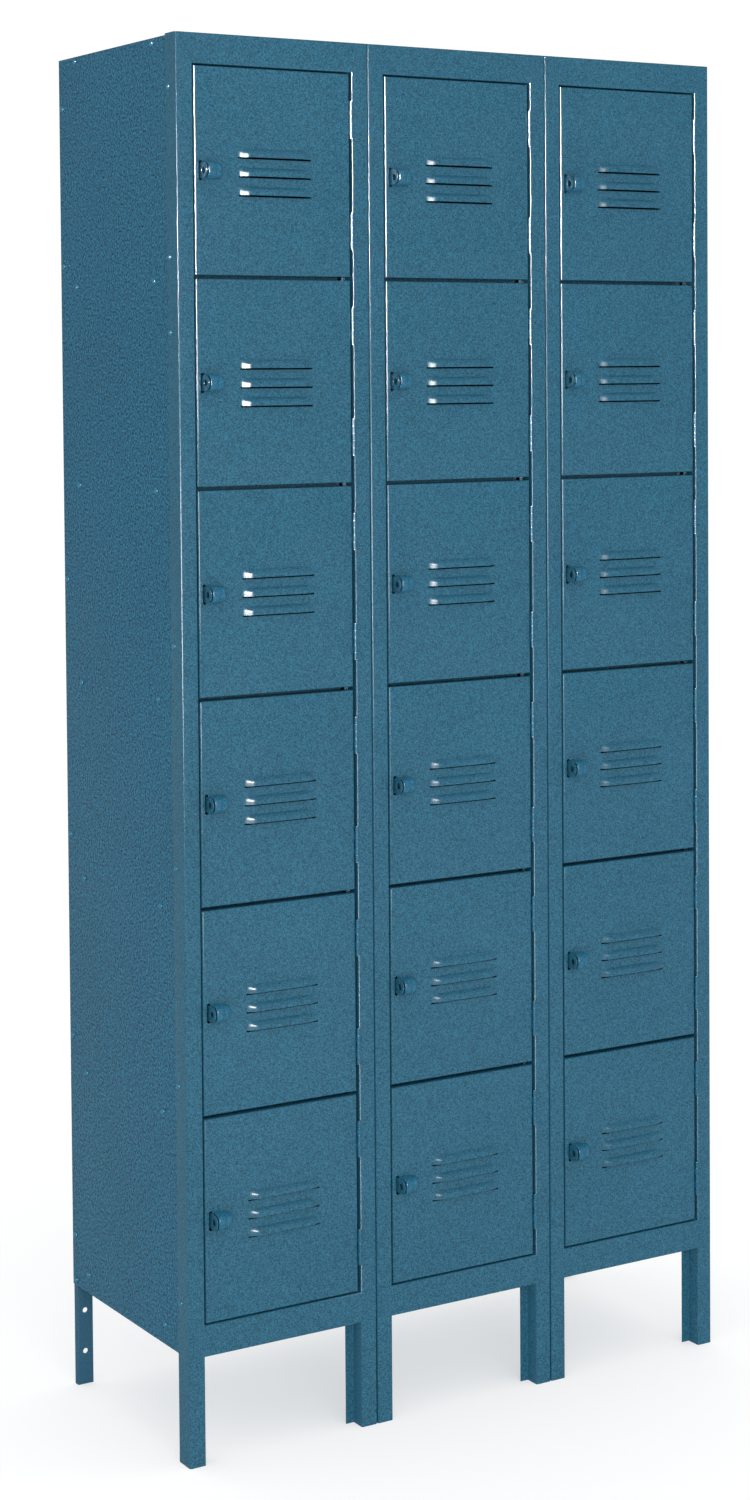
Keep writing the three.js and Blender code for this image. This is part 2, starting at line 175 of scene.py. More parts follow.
def enamel(name, color, roughness, grain=0.88, gloss=0.5, fineness=520.0):
    """Baked enamel: a fine orange-peel skin, faint mottling, soft handling marks and grain."""
    material = bpy.data.materials.new(name)
    material.use_nodes = True
    nodes = material.node_tree.nodes
    links = material.node_tree.links
    shader = nodes["Principled BSDF"]
    shader.inputs["Specular IOR Level"].default_value = gloss
    place = nodes.new("ShaderNodeTexCoord")

    def noise(scale, detail, rough=0.5):
        node = nodes.new("ShaderNodeTexNoise")
        node.inputs["Scale"].default_value = scale
        node.inputs["Detail"].default_value = detail
        node.inputs["Roughness"].default_value = rough
        links.new(place.outputs["Object"], node.inputs["Vector"])
        return node.outputs["Fac"]

    def stretched(value, low, high, to_low, to_high):
        node = nodes.new("ShaderNodeMapRange")
        node.inputs["From Min"].default_value = low
        node.inputs["From Max"].default_value = high
        node.inputs["To Min"].default_value = to_low
        node.inputs["To Max"].default_value = to_high
        links.new(value, node.inputs["Value"])
        return node.outputs["Result"]

    depth = SPECKLE_DEPTH * grain
    speckle = stretched(noise(fineness, 2.0, 0.7), 0.3, 0.7, 1.0 - depth, 1.0 + depth)
    mottle = stretched(noise(5.0, 3.0), 0.3, 0.7, 0.965, 1.035)
    shade = nodes.new("ShaderNodeMath")
    shade.operation = "MULTIPLY"
    links.new(speckle, shade.inputs[0])
    links.new(mottle, shade.inputs[1])
    tint = nodes.new("ShaderNodeVectorMath")
    tint.operation = "SCALE"
    tint.inputs[0].default_value = color
    links.new(shade.outputs[0], tint.inputs["Scale"])
    links.new(tint.outputs["Vector"], shader.inputs["Base Color"])

    handled = stretched(noise(14.0, 4.0, 0.6), 0.35, 0.75, roughness - 0.02, roughness + 0.03)
    links.new(handled, shader.inputs["Roughness"])

    peel = nodes.new("ShaderNodeBump")
    peel.inputs["Strength"].default_value = PEEL_STRENGTH * grain
    peel.inputs["Distance"].default_value = PEEL_HEIGHT
    links.new(noise(PEEL_FINENESS, 3.0, 0.6), peel.inputs["Height"])
    wave = nodes.new("ShaderNodeBump")
    wave.inputs["Strength"].default_value = WAVE_STRENGTH
    wave.inputs["Distance"].default_value = WAVE_HEIGHT
    links.new(noise(WAVE_FINENESS, 1.0), wave.inputs["Height"])
    links.new(wave.outputs["Normal"], peel.inputs["Normal"])
    links.new(peel.outputs["Normal"], shader.inputs["Normal"])
    return material


def arc(center, radius, start, end, steps=BEND_STEPS):
    """Points on a circle in a plane, angles in degrees."""
    points = []
    for i in range(steps + 1):
        angle = math.radians(start + (end - start) * i / steps)
        points.append((center[0] + radius * math.cos(angle), center[1] + radius * math.sin(angle)))
    return points


def mesh_object(name, verts, faces, material, smooth_angle=40.0):
    mesh = bpy.data.meshes.new(name)
    mesh.from_pydata([tuple(v) for v in verts], [], faces)
    work = bmesh.new()
    work.from_mesh(mesh)
    bmesh.ops.delete(work, geom=[v for v in work.verts if not v.link_faces], context="VERTS")
    bmesh.ops.recalc_face_normals(work, faces=work.faces)
    limit = math.radians(smooth_angle)
    for face in work.faces:
        face.smooth = True
    for edge in work.edges:
        edge.smooth = len(edge.link_faces) == 2 and edge.calc_face_angle(0.0) < limit
    work.to_mesh(mesh)
    work.free()
    mesh.materials.append(material)
    piece = bpy.data.objects.new(name, mesh)
    bpy.context.scene.collection.objects.link(piece)
    return piece


def add_part(verts, faces, more_verts, more_faces):
    """Puts one closed part after another in a piece's lists."""
    start = len(verts)
    verts.extend(more_verts)
    faces.extend(tuple(start + i for i in face) for face in more_faces)


def bar_along(outline, span, axis):
    """A closed bar: a 2-D outline pushed along X, Y or Z between two places."""
    count = len(outline)
    others = [i for i in range(3) if i != axis]
    verts = []
    for place in span:
        for point in outline:
            vert = [0.0, 0.0, 0.0]
            vert[axis] = place
            vert[others[0]], vert[others[1]] = point
            verts.append(vert)
    faces = [(i, (i + 1) % count, count + (i + 1) % count, count + i) for i in range(count)]
    faces.append(tuple(range(count)))
    faces.append(tuple(range(2 * count - 1, count - 1, -1)))
    return verts, faces


def box_part(low, high):
    outline = [(low[0], low[1]), (high[0], low[1]), (high[0], high[1]), (low[0], high[1])]
    return bar_along(outline, (low[2], high[2]), 2)


def sheet_outline(path, gauge):
    """The closed outline of a folded sheet: a path of its front side and the same path set back."""
    back = []
    for i, point in enumerate(path):
        before = Vector(path[max(i - 1, 0)])
        after = Vector(path[min(i + 1, len(path) - 1)])
        along = (after - before).normalized()
        back.append((point[0] - along.y * gauge, point[1] + along.x * gauge))
    return list(path) + back[::-1]


def ring_sweep(rings):
    """A closed picture-frame shape through rectangles (x0, x1, z0, z1, y), the last joined to the first."""
    verts = []
    faces = []
    for x0, x1, z0, z1, y in rings:
        verts += [(x0, y, z0), (x1, y, z0), (x1, y, z1), (x0, y, z1)]
    for ring in range(len(rings)):
        after = (ring + 1) % len(rings)
        for i in range(4):
            j = (i + 1) % 4
            faces.append((4 * ring + i, 4 * ring + j, 4 * after + j, 4 * after + i))
    return verts, faces


def bay_edges(bay):
    low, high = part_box(f"front_frame_{bay}")
    return low.x, high.x


face_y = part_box("front_frame_A")[0].y + LUG_PROUD
cabinet_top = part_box("front_frame_A")[1].z
opening_bottom = LEG_HEIGHT + BOTTOM_RAIL
opening_top = cabinet_top - TOP_RAIL
tier_pitch = (opening_top - opening_bottom) / TIERS
strike_y = face_y + RETURN_DEPTH

frame_paint = enamel("frame_enamel_paint", ENAMEL_FRONT, ENAMEL_ROUGHNESS)


def frame_rings(x0, x1):
    """The section of the frame, as rectangles: flange, fold, face, fold, return, strike lip and back."""
    rings = []

    def outer(s, depth):
        rings.append((x0 + s, x1 - s, LEG_HEIGHT + s, cabinet_top - s, face_y + depth))

    def inner(s, depth):
        lip = s * RAIL_LIP / STRIKE_LIP if s < 0 else s
        left = x0 + POST_FACE - (s * LUG_SIDE_LIP / STRIKE_LIP if s < 0 else s)
        right = x1 - POST_FACE + s
        rings.append((left, right, opening_bottom - lip, opening_top + lip, face_y + depth))

    outer(0.0, SIDE_FLANGE)
    for s, depth in arc((FRAME_BEND, FRAME_BEND), FRAME_BEND, 180.0, 270.0):
        outer(s, depth)
    for s, depth in arc((FRAME_BEND, FRAME_BEND), FRAME_BEND, 270.0, 180.0):
        inner(s, depth)
    lip_front = RETURN_DEPTH - FRAME_GAUGE
    for s, depth in arc((-LIP_BEND, lip_front - LIP_BEND), LIP_BEND, 0.0, 90.0, 3):
        inner(s, depth)
    inner(-STRIKE_LIP, lip_front)
    inner(-STRIKE_LIP, RETURN_DEPTH)
    for s, depth in arc((-LIP_BEND, lip_front - LIP_BEND), LIP_BEND + FRAME_GAUGE, 90.0, 0.0, 3):
        inner(s, depth)
    for s, depth in arc((FRAME_BEND, FRAME_BEND), FRAME_BEND - FRAME_GAUGE, 180.0, 270.0, 3):
        inner(s, depth)
    for s, depth in arc((FRAME_BEND, FRAME_BEND), FRAME_BEND - FRAME_GAUGE, 270.0, 180.0, 3):
        outer(s, depth)
    outer(FRAME_GAUGE, SIDE_FLANGE)
    return rings


def leg_outline(outer_x, turn):
    """Plan of one leg: side flange, fold, face, fold, return, strike lip."""
    inset = 0.00005
    path = [(outer_x + turn * inset, face_y + SIDE_FLANGE)]
    fold = FRAME_BEND
    for s, depth in arc((fold, fold), fold, 180.0, 270.0):
        path.append((outer_x + turn * (s + inset * (1 - s / fold)), face_y + depth))
    for s, depth in arc((fold, fold), fold, 270.0, 180.0):
        path.append((outer_x + turn * (POST_FACE - s), face_y + depth))
    lip_front = RETURN_DEPTH - FRAME_GAUGE
    for s, depth in arc((-LIP_BEND, lip_front - LIP_BEND), LIP_BEND, 0.0, 90.0, 3):
        path.append((outer_x + turn * (POST_FACE - s), face_y + depth))
    lip = LUG_SIDE_LIP if turn > 0 else STRIKE_LIP
    path.append((outer_x + turn * (POST_FACE + lip), face_y + lip_front))
    if turn < 0:
        path = path[::-1]
    return sheet_outline(path, FRAME_GAUGE)


def front_frame(bay):
    x0, x1 = bay_edges(bay)
    verts, faces = [], []
    add_part(verts, faces, *ring_sweep(frame_rings(x0, x1)))
    for outer_x, turn in ((x0, 1), (x1, -1)):
        top = LEG_HEIGHT + FRAME_BEND - SEAM_WIDTH
        add_part(verts, faces, *bar_along(leg_outline(outer_x, turn), (0.0, top), 2))
        lap = sorted((outer_x + turn * LAP_INSET, outer_x + turn * (POST_FACE - FRAME_BEND)))
        for low, high in ((LEG_HEIGHT + FRAME_BEND, opening_bottom), (opening_top, cabinet_top - FRAME_BEND)):
            corner = (lap[0], face_y - LAP_PROUD, low)
            add_part(verts, faces, *box_part(corner, (lap[1], face_y + FRAME_GAUGE / 2, high)))
    piece = mesh_object(f"welded_frame_{bay}", verts, faces, frame_paint)
    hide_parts(f"front_frame_{bay}")
    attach(piece, "cabinet")


for bay_name in BAYS:
    front_frame(bay_name)

# ---------------------------------------------------------------------------------------------
# Cross rails: a bent steel strip behind each seam between two doors. The doors close against its
# front, and its ledge carries the front edge of the shelf above the seam.

CROSS_RAIL_BELOW = 0.014
CROSS_RAIL_ABOVE = 0.012
SHELF_LEDGE = 0.014


def cross_rails(bay):
    x0, x1 = bay_edges(bay)
    span = (x0 + POST_FACE + LUG_SIDE_LIP / 2, x1 - POST_FACE - STRIKE_LIP / 2)
    verts, faces = [], []
    for seam in range(1, TIERS):
        seam_z = opening_top - seam * tier_pitch
        low = seam_z - CROSS_RAIL_BELOW
        high = seam_z + CROSS_RAIL_ABOVE
        front = strike_y - FRAME_GAUGE
        fold = FRAME_BEND
        path = [(strike_y + SHELF_LEDGE, high)]
        path += arc((front + fold, high - fold), fold, 90.0, 180.0)
        path.append((front, low))
        outline = sheet_outline(path, FRAME_GAUGE)
        add_part(verts, faces, *bar_along(outline, span, 0))
    piece = mesh_object(f"cross_rails_{bay}", verts, faces, frame_paint)
    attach(piece, "cabinet")


for bay_name in BAYS:
    cross_rails(bay_name)

# ---------------------------------------------------------------------------------------------
# Padlock lugs: one thick rounded steel plate for each door. Its foot is bent towards the post and
# welded behind the strike lip. The eye in front of the door takes the shackle of a padlock.

LUG_START = 0.0105
LUG_THICKNESS = 0.002
LUG_HEIGHT = 0.022
LUG_EYE_RADIUS = 0.0046
LUG_EYE_BACK = 0.010
LUG_FOOT_REACH = 0.006


def tier_middle(tier):
    return opening_top - (tier + 0.5) * tier_pitch


def lug_plate(x, middle_z):
    """A plate in the Y-Z plane, made as bands between its rim and its eye, with broken edges."""
    half = LUG_HEIGHT / 2
    nose_y = face_y - LUG_PROUD + half
    eye_y = face_y - LUG_PROUD + LUG_EYE_BACK
    steps = 32
    broken = 0.0003
    section = ((0.0, broken, 0), (broken, 0.0, 0), (LUG_THICKNESS - broken, 0.0, 0),
               (LUG_THICKNESS, broken, 0), (LUG_THICKNESS, broken, 1),
               (LUG_THICKNESS - broken, 0.0, 1), (broken, 0.0, 1), (0.0, broken, 1))
    verts = []
    for i in range(steps):
        angle = 2 * math.pi * i / steps
        across, up = math.cos(angle), math.sin(angle)
        if across <= 0:
            scale = half
        else:
            reach = strike_y + FRAME_GAUGE - nose_y
            scale = min(reach / across, half / max(abs(up), 1e-6))
        for place, back, on_eye in section:
            if on_eye:
                out = LUG_EYE_RADIUS + back
                verts.append((x + place, eye_y + out * across, middle_z + out * up))
            else:
                out = scale - back
                verts.append((x + place, nose_y + out * across, middle_z + out * up))
    faces = []
    points = len(section)
    for i in range(steps):
        j = (i + 1) % steps
        for k in range(points):
            m = (k + 1) % points
            faces.append((i * points + k, j * points + k, j * points + m, i * points + m))
    return verts, faces


def lugs(bay):
    x0, _ = bay_edges(bay)
    verts, faces = [], []
    for tier in range(TIERS):
        x = x0 + POST_FACE + LUG_START
        middle = tier_middle(tier)
        add_part(verts, faces, *lug_plate(x, middle))
        low = (x - LUG_FOOT_REACH, strike_y, middle - LUG_HEIGHT / 2)
        high = (x + LUG_THICKNESS / 2, strike_y + FRAME_GAUGE, middle + LUG_HEIGHT / 2)
        add_part(verts, faces, *box_part(low, high))
    piece = mesh_object(f"padlock_lugs_{bay}", verts, faces, frame_paint, 30.0)
    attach(piece, "cabinet")


for bay_name in BAYS:
    lugs(bay_name)

# ---------------------------------------------------------------------------------------------
# Doors: a pressed steel pan with its four edges folded back and returned. The slot for the lug
# is punched, and the louvers are lanced and pressed out as hoods. The inside has a duller coat.

DOOR_GAUGE = 0.0012
DOOR_DEPTH = 0.022
DOOR_BEND = 0.0022
DOOR_RETURN = 0.009
DOOR_GAP_LEFT = 0.002
DOOR_GAP_RIGHT = 0.005
DOOR_GAP_BETWEEN = 0.005
SLOT_START = 0.008
SLOT_WIDTH = 0.0052
SLOT_HEIGHT = 0.028
LOUVER_COUNT = 3
LOUVER_PITCH = 0.026
LOUVER_START = 0.068
LOUVER_LENGTH = 0.115
LOUVER_HEIGHT = 0.012
LOUVER_PROUD = 0.0054
LOUVER_TAPER = 0.015
LOUVER_COLUMNS = 46
LOUVER_ROWS = 6
LOUVER_MARGIN = 0.0004
LOUVER_SLIT = 0.0022
INSIDE_ROUGHNESS = 0.5
INSIDE_GLOSS = 0.12

door_paint = enamel("door_enamel_paint", ENAMEL_FRONT, ENAMEL_ROUGHNESS)
door_inner_paint = enamel("door_inner_enamel_paint", ENAMEL_FRONT, INSIDE_ROUGHNESS, 1.0, INSIDE_GLOSS)


def door_box(bay, tier):
    x0, x1 = bay_edges(bay)
    top = opening_top - tier * tier_pitch - DOOR_GAP_BETWEEN / 2
    bottom = top - tier_pitch + DOOR_GAP_BETWEEN
    return x0 + POST_FACE + DOOR_GAP_LEFT, x1 - POST_FACE - DOOR_GAP_RIGHT, bottom, top


def smooth_step(share):
    """A ramp from 0 to 1 that is straight along most of its length and eased at both ends."""
    share = min(max(share, 0.0), 1.0)
    return 0.7 * share + 0.3 * share * share * (3 - 2 * share)


def louver_height(along, down):
    """How far a louver stands out, `along` its length in metres and `down` it from 0 to 1."""
    reach = min(along, LOUVER_LENGTH - along) / LOUVER_TAPER
    ends = smooth_step(reach)
    rise = math.sin(min(max(down / 0.55, 0.0), 1.0) * math.pi / 2)
    return LOUVER_PROUD * ends * rise


def door_front(x0, x1, z0, z1):
    """The flat front with its slot and louvers, as a grid of faces, and the loop round its rim."""
    left, right, low, high = x0 + DOOR_BEND, x1 - DOOR_BEND, z0 + DOOR_BEND, z1 - DOOR_BEND
    middle = (z0 + z1) / 2
    slot_x = x0 - DOOR_GAP_LEFT + SLOT_START + SLOT_WIDTH / 2
    round_end = SLOT_WIDTH / 2
    louver_x = x0 + LOUVER_START
    columns = [left, slot_x - round_end, slot_x, slot_x + round_end]
    columns.append(louver_x - LOUVER_MARGIN)
    columns += [louver_x + LOUVER_LENGTH * i / LOUVER_COLUMNS for i in range(LOUVER_COLUMNS + 1)]
    columns.append(louver_x + LOUVER_LENGTH + LOUVER_MARGIN)
    columns.append(right)
    rows = {low, high}
    for way in (-1, 1):
        rows |= {middle + way * SLOT_HEIGHT / 2, middle + way * (SLOT_HEIGHT / 2 - round_end)}
    hoods = []
    for i in range(LOUVER_COUNT):
        base = middle + (i - (LOUVER_COUNT - 1) / 2) * LOUVER_PITCH - LOUVER_HEIGHT / 2
        hoods.append(base)
        rows |= {base + LOUVER_HEIGHT * k / LOUVER_ROWS for k in range(LOUVER_ROWS + 1)}
        rows |= {base - LOUVER_SLIT, base + LOUVER_HEIGHT + LOUVER_MARGIN}
    rows = sorted(rows)
    verts, faces = [], []
    flat, lifted = {}, {}

    def hood_of(row):
        for base in hoods:
            if base - 1e-6 <= rows[row] <= base + LOUVER_HEIGHT + 1e-6:
                return base
        return None

    for r, z in enumerate(rows):
        base = hood_of(r)
        for c, x in enumerate(columns):
            along = x - louver_x
            out = 0.0
            if base is not None and 1e-6 < along < LOUVER_LENGTH - 1e-6:
                out = louver_height(along, 1 - (z - base) / LOUVER_HEIGHT)
            on_lip = base is not None and abs(z - base) < 1e-6 and 1e-6 < along < LOUVER_LENGTH - 1e-6
            flat[r, c] = len(verts)
            verts.append((x, face_y - (0.0 if on_lip else out), z))
            if on_lip:
                lifted[r, c] = len(verts)
                verts.append((x, face_y - out, z))
    slot_columns = (1, 2)
    for r in range(len(rows) - 1):
        base = hood_of(r)
        in_hood = base is not None and rows[r] < base + LOUVER_HEIGHT - 1e-6
        in_slot = abs((rows[r] + rows[r + 1]) / 2 - middle) < SLOT_HEIGHT / 2
        in_slit = any(base - LOUVER_SLIT - 1e-6 < rows[r] < base - 1e-6 for base in hoods)
        for c in range(len(columns) - 1):
            if in_slot and c in slot_columns:
                continue
            if in_slit and louver_x - 1e-6 < columns[c] < louver_x + LOUVER_LENGTH - 1e-6:
                continue
            low_pair = [flat[r, c], flat[r, c + 1]]
            if in_hood:
                low_pair = [lifted.get((r, c), flat[r, c]), lifted.get((r, c + 1), flat[r, c + 1])]
            faces.append((low_pair[0], low_pair[1], flat[r + 1, c + 1], flat[r + 1, c]))
    index = {round(z, 7): r for r, z in enumerate(rows)}
    for up in (-1, 1):
        end_row = index[round(middle + up * SLOT_HEIGHT / 2, 7)]
        side_row = index[round(middle + up * (SLOT_HEIGHT / 2 - round_end), 7)]
        center = (slot_x, middle + up * (SLOT_HEIGHT / 2 - round_end))
        for side, column in ((-1, 1), (1, 3)):
            bend = arc(center, round_end, 90.0 * up, 0.0 if side > 0 else 180.0 * up, 5)[1:-1]
            first = len(verts)
            verts += [(x, face_y, z) for x, z in bend]
            corner = [flat[end_row, column], flat[end_row, 2], *range(first, first + len(bend))]
            corner.append(flat[side_row, column])
            faces.append(tuple(corner if side * up > 0 else reversed(corner)))
    last_row, last_column = len(rows) - 1, len(columns) - 1
    rim = [flat[0, c] for c in range(last_column)] + [flat[r, last_column] for r in range(last_row)]
    rim += [flat[last_row, c] for c in range(last_column, 0, -1)]
    rim += [flat[r, 0] for r in range(last_row, 0, -1)]
    return verts, faces, rim, (left, right, low, high)


def folded_rim(verts, faces, rim, flat_box, steps):
    """Carries the rim of a flat sheet round its folds: each step is (outwards, backwards)."""
    left, right, low, high = flat_box
    base = [verts[i] for i in rim]
    before = rim
    for outwards, backwards in steps:
        start = len(verts)
        for x, y, z in base:
            move_x = outwards * ((x >= right - 1e-7) - (x <= left + 1e-7))
            move_z = outwards * ((z >= high - 1e-7) - (z <= low + 1e-7))
            verts.append((x + move_x, y + backwards, z + move_z))
        count = len(rim)
        for i in range(count):
            j = (i + 1) % count
            faces.append((before[j], before[i], start + i, start + j))
        before = list(range(start, start + count))


def thickened(verts, faces, gauge):
    """Gives a folded surface its sheet thickness, behind the side that its faces show."""
    mesh = bpy.data.meshes.new("bare_sheet")
    mesh.from_pydata(verts, [], faces)
    sheet = bpy.data.objects.new("bare_sheet", mesh)
    bpy.context.scene.collection.objects.link(sheet)
    thick = sheet.modifiers.new("gauge", "SOLIDIFY")
    thick.thickness = gauge
    thick.offset = -1.0
    thick.use_even_offset = True
    solid = bpy.data.meshes.new_from_object(sheet.evaluated_get(bpy.context.evaluated_depsgraph_get()))
    bpy.data.objects.remove(sheet)
    solid_verts = [v.co.copy() for v in solid.vertices]
    solid_faces = [tuple(p.vertices) for p in solid.polygons]
    bpy.data.meshes.remove(solid)
    return solid_verts, solid_faces


def door(bay, tier):
    verts, faces, rim, flat_box = door_front(*door_box(bay, tier))
    steps = [(s, depth) for s, depth in arc((0.0, DOOR_BEND), DOOR_BEND, 270.0, 360.0)][1:]
    back_fold = 0.0016
    steps += arc((DOOR_BEND - back_fold, DOOR_DEPTH - back_fold), back_fold, 0.0, 90.0, 4)
    steps.append((DOOR_BEND - DOOR_RETURN, DOOR_DEPTH))
    folded_rim(verts, faces, rim, flat_box, steps)
    pan = thickened(verts, faces, DOOR_GAUGE)
    piece = mesh_object(f"door_pan_{bay}{tier + 1}", *pan, door_paint, 32.0)
    piece.data.materials.append(door_inner_paint)
    for i in range(len(faces), 2 * len(faces)):
        piece.data.polygons[i].material_index = 1
    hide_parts(f"door_{bay}{tier + 1}")
    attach(piece, f"door_{bay}{tier + 1}")


for bay_name in BAYS:
    for tier_number in range(TIERS):
        door(bay_name, tier_number)

# ---------------------------------------------------------------------------------------------
# Pulls: a drawn steel hood on each door, beside the lug. Its mouth faces the lug and has a rolled
# edge for the fingers. It is level at first, then slopes, then falls away to the door.

PULL_START = 0.0136
PULL_LENGTH = 0.029
PULL_HEIGHT = 0.024
PULL_PROUD = 0.0205
PULL_GAUGE = 0.0011
PULL_BEAD = 0.0013
PULL_SLOPE = 0.88
PULL_SLOPE_START = 0.24
PULL_SLOPE_END = 0.50
PULL_STATIONS = 18
PULL_POINTS = 18
PULL_TAPER = 0.35
PULL_SQUARENESS = 0.62
PULL_COLOR = (0.016, 0.122, 0.210)

pull_paint = enamel("pull_enamel_paint", PULL_COLOR, 0.27)


def pull_section(along, shrink):
    """Half-loop of the hood at a share of its length: out from the door, over and back to it."""
    if along < PULL_SLOPE_START:
        fall = 1.0
    elif along < PULL_SLOPE_END:
        fall = 1 - PULL_SLOPE * (along - PULL_SLOPE_START)
    else:
        share = (min(along, 0.999) - PULL_SLOPE_END) / (1 - PULL_SLOPE_END)
        fall = (1 - PULL_SLOPE * (PULL_SLOPE_END - PULL_SLOPE_START)) * (1 - share ** 2.2) ** 0.5
    proud = max(PULL_PROUD * fall - shrink, 0.0002)
    half = PULL_HEIGHT / 2 * (1 - PULL_TAPER * along ** 3) - shrink
    points = []
    for i in range(PULL_POINTS + 1):
        angle = math.pi * i / PULL_POINTS
        up = math.copysign(abs(math.cos(angle)) ** PULL_SQUARENESS, math.cos(angle))
        out = abs(math.sin(angle)) ** PULL_SQUARENESS
        points.append((out * proud, up * half))
    return points


def pull(bay, tier):
    x0, _ = bay_edges(bay)
    mouth_x = x0 + POST_FACE + PULL_START + PULL_BEAD
    middle = tier_middle(tier)
    base_y = face_y - 0.00005
    length = PULL_LENGTH - PULL_BEAD
    rings = []
    for k in range(PULL_STATIONS, -1, -1):
        along = k / PULL_STATIONS
        rings.append((mouth_x + along * length, pull_section(along, 0.0)))
    mouth_outer = pull_section(0.0, 0.0)
    mouth_inner = pull_section(0.0, 2 * PULL_BEAD)
    for step in range(1, 8):
        turn = math.pi * step / 8
        share = (1 - math.cos(turn)) / 2
        section = [(a[0] + (b[0] - a[0]) * share, a[1] + (b[1] - a[1]) * share)
                   for a, b in zip(mouth_outer, mouth_inner)]
        rings.append((mouth_x - PULL_BEAD * math.sin(turn), section))
    for k in range(0, PULL_STATIONS + 1):
        along = k / PULL_STATIONS
        shrink = 2 * PULL_BEAD if k == 0 else PULL_GAUGE
        rings.append((mouth_x + along * (length - PULL_GAUGE), pull_section(along, shrink)))
    verts = []
    for x, section in rings:
        verts += [(x, base_y - out, middle + up) for out, up in section]
    count = PULL_POINTS + 1
    faces = []
    for ring in range(len(rings)):
        after = (ring + 1) % len(rings)
        for i in range(PULL_POINTS):
            faces.append((ring * count + i, ring * count + i + 1, after * count + i + 1, after * count + i))
    for side in (0, PULL_POINTS):
        faces.append(tuple(ring * count + side for ring in range(len(rings))))
    piece = mesh_object(f"pull_hood_{bay}{tier + 1}", verts, faces, pull_paint, 50.0)
    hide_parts(f"pull_{bay}{tier + 1}")
    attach(piece, f"door_{bay}{tier + 1}")


for bay_name in BAYS:
    for tier_number in range(TIERS):
        pull(bay_name, tier_number)

# ---------------------------------------------------------------------------------------------
# Hinges: two on each door, each of five rolled knuckles on a pin. Knuckles 1, 3 and 5 have their
# leaf welded to the post, and knuckles 2 and 4 have theirs on the door. All is painted over.

HINGE_LENGTH = 0.0508
HINGE_INSET = 0.039
HINGE_FORWARD = 0.0016
BARREL_RADIUS = 0.0026
PIN_RADIUS = 0.0017
PIN_HEAD = 0.0007
KNUCKLES = 5
KNUCKLE_GAP = 0.0006
LEAF_GAUGE = 0.0012
LEAF_DEPTH = 0.020
HINGE_COLOR = (0.015, 0.118, 0.204)
PIN_COLOR = (0.36, 0.38, 0.40)

hinge_paint = enamel("hinge_enamel_paint", HINGE_COLOR, 0.26, 0.6)
pin_steel = enamel("hinge_pin_steel", PIN_COLOR, 0.34, 0.5)
pin_steel.node_tree.nodes["Principled BSDF"].inputs["Metallic"].default_value = 1.0


def repeat_tree(shape):
    """A node tree that puts one small shape on every place, turned a little differently each time."""
    tree = bpy.data.node_groups.new(f"repeated_{shape}", "GeometryNodeTree")
    face = tree.interface
    face.new_socket("Places", in_out="INPUT", socket_type="NodeSocketGeometry")
    for name in ("Radius", "Length"):
        face.new_socket(name, in_out="INPUT", socket_type="NodeSocketFloat")
    for name in ("Proportions", "Twist"):
        face.new_socket(name, in_out="INPUT", socket_type="NodeSocketVector")
    for name in ("Sides", "Seed"):
        face.new_socket(name, in_out="INPUT", socket_type="NodeSocketInt")
    face.new_socket("Coat", in_out="INPUT", socket_type="NodeSocketMaterial")
    face.new_socket("Pieces", in_out="OUTPUT", socket_type="NodeSocketGeometry")
    nodes, links = tree.nodes, tree.links
    given = nodes.new("NodeGroupInput")
    result = nodes.new("NodeGroupOutput")
    if shape == "bar":
        master = nodes.new("GeometryNodeMeshCylinder")
        links.new(given.outputs["Sides"], master.inputs["Vertices"])
        links.new(given.outputs["Length"], master.inputs["Depth"])
    else:
        master = nodes.new("GeometryNodeMeshUVSphere")
        master.inputs["Rings"].default_value = 6
        links.new(given.outputs["Sides"], master.inputs["Segments"])
    links.new(given.outputs["Radius"], master.inputs["Radius"])
    sized = nodes.new("GeometryNodeTransform")
    links.new(master.outputs["Mesh"], sized.inputs["Geometry"])
    links.new(given.outputs["Proportions"], sized.inputs["Scale"])
    turn = nodes.new("FunctionNodeRandomValue")
    turn.data_type = "FLOAT_VECTOR"
    turn.inputs["Min"].default_value = (0.0, 0.0, 0.0)
    links.new(given.outputs["Twist"], turn.inputs["Max"])
    links.new(given.outputs["Seed"], turn.inputs["Seed"])
    spread = nodes.new("GeometryNodeInstanceOnPoints")
    links.new(given.outputs["Places"], spread.inputs["Points"])
    links.new(sized.outputs["Geometry"], spread.inputs["Instance"])
    links.new(turn.outputs["Value"], spread.inputs["Rotation"])
    real = nodes.new("GeometryNodeRealizeInstances")
    links.new(spread.outputs["Instances"], real.inputs["Geometry"])
    coated = nodes.new("GeometryNodeSetMaterial")
    links.new(real.outputs["Geometry"], coated.inputs["Geometry"])
    links.new(given.outputs["Coat"], coated.inputs["Material"])
    links.new(coated.outputs["Geometry"], result.inputs["Pieces"])
    return tree


repeat_trees = {shape: repeat_tree(shape) for shape in ("bar", "dome")}


def repeated(shape, places, **values):
    """Runs the node tree on a set of places and gives the finished vertices and faces."""
    tree = repeat_trees[shape]
    mesh = bpy.data.meshes.new("places")
    mesh.from_pydata(places, [], [])
    holder = bpy.data.objects.new("places", mesh)
    bpy.context.scene.collection.objects.link(holder)
    spread = holder.modifiers.new("repeat", "NODES")
    spread.node_group = tree
    for socket in tree.interface.items_tree:
        if socket.in_out == "INPUT" and socket.name in values:
            spread[socket.identifier] = values[socket.name]
    made = bpy.data.meshes.new_from_object(holder.evaluated_get(bpy.context.evaluated_depsgraph_get()))
    bpy.data.objects.remove(holder)
    verts = [v.co.copy() for v in made.vertices]
    faces = [tuple(p.vertices) for p in made.polygons]
    bpy.data.meshes.remove(made)
    return verts, faces


def hinge_bottoms(tier):
    _, _, low, high = door_box("A", tier)
    return low + HINGE_INSET, high - HINGE_INSET - HINGE_LENGTH


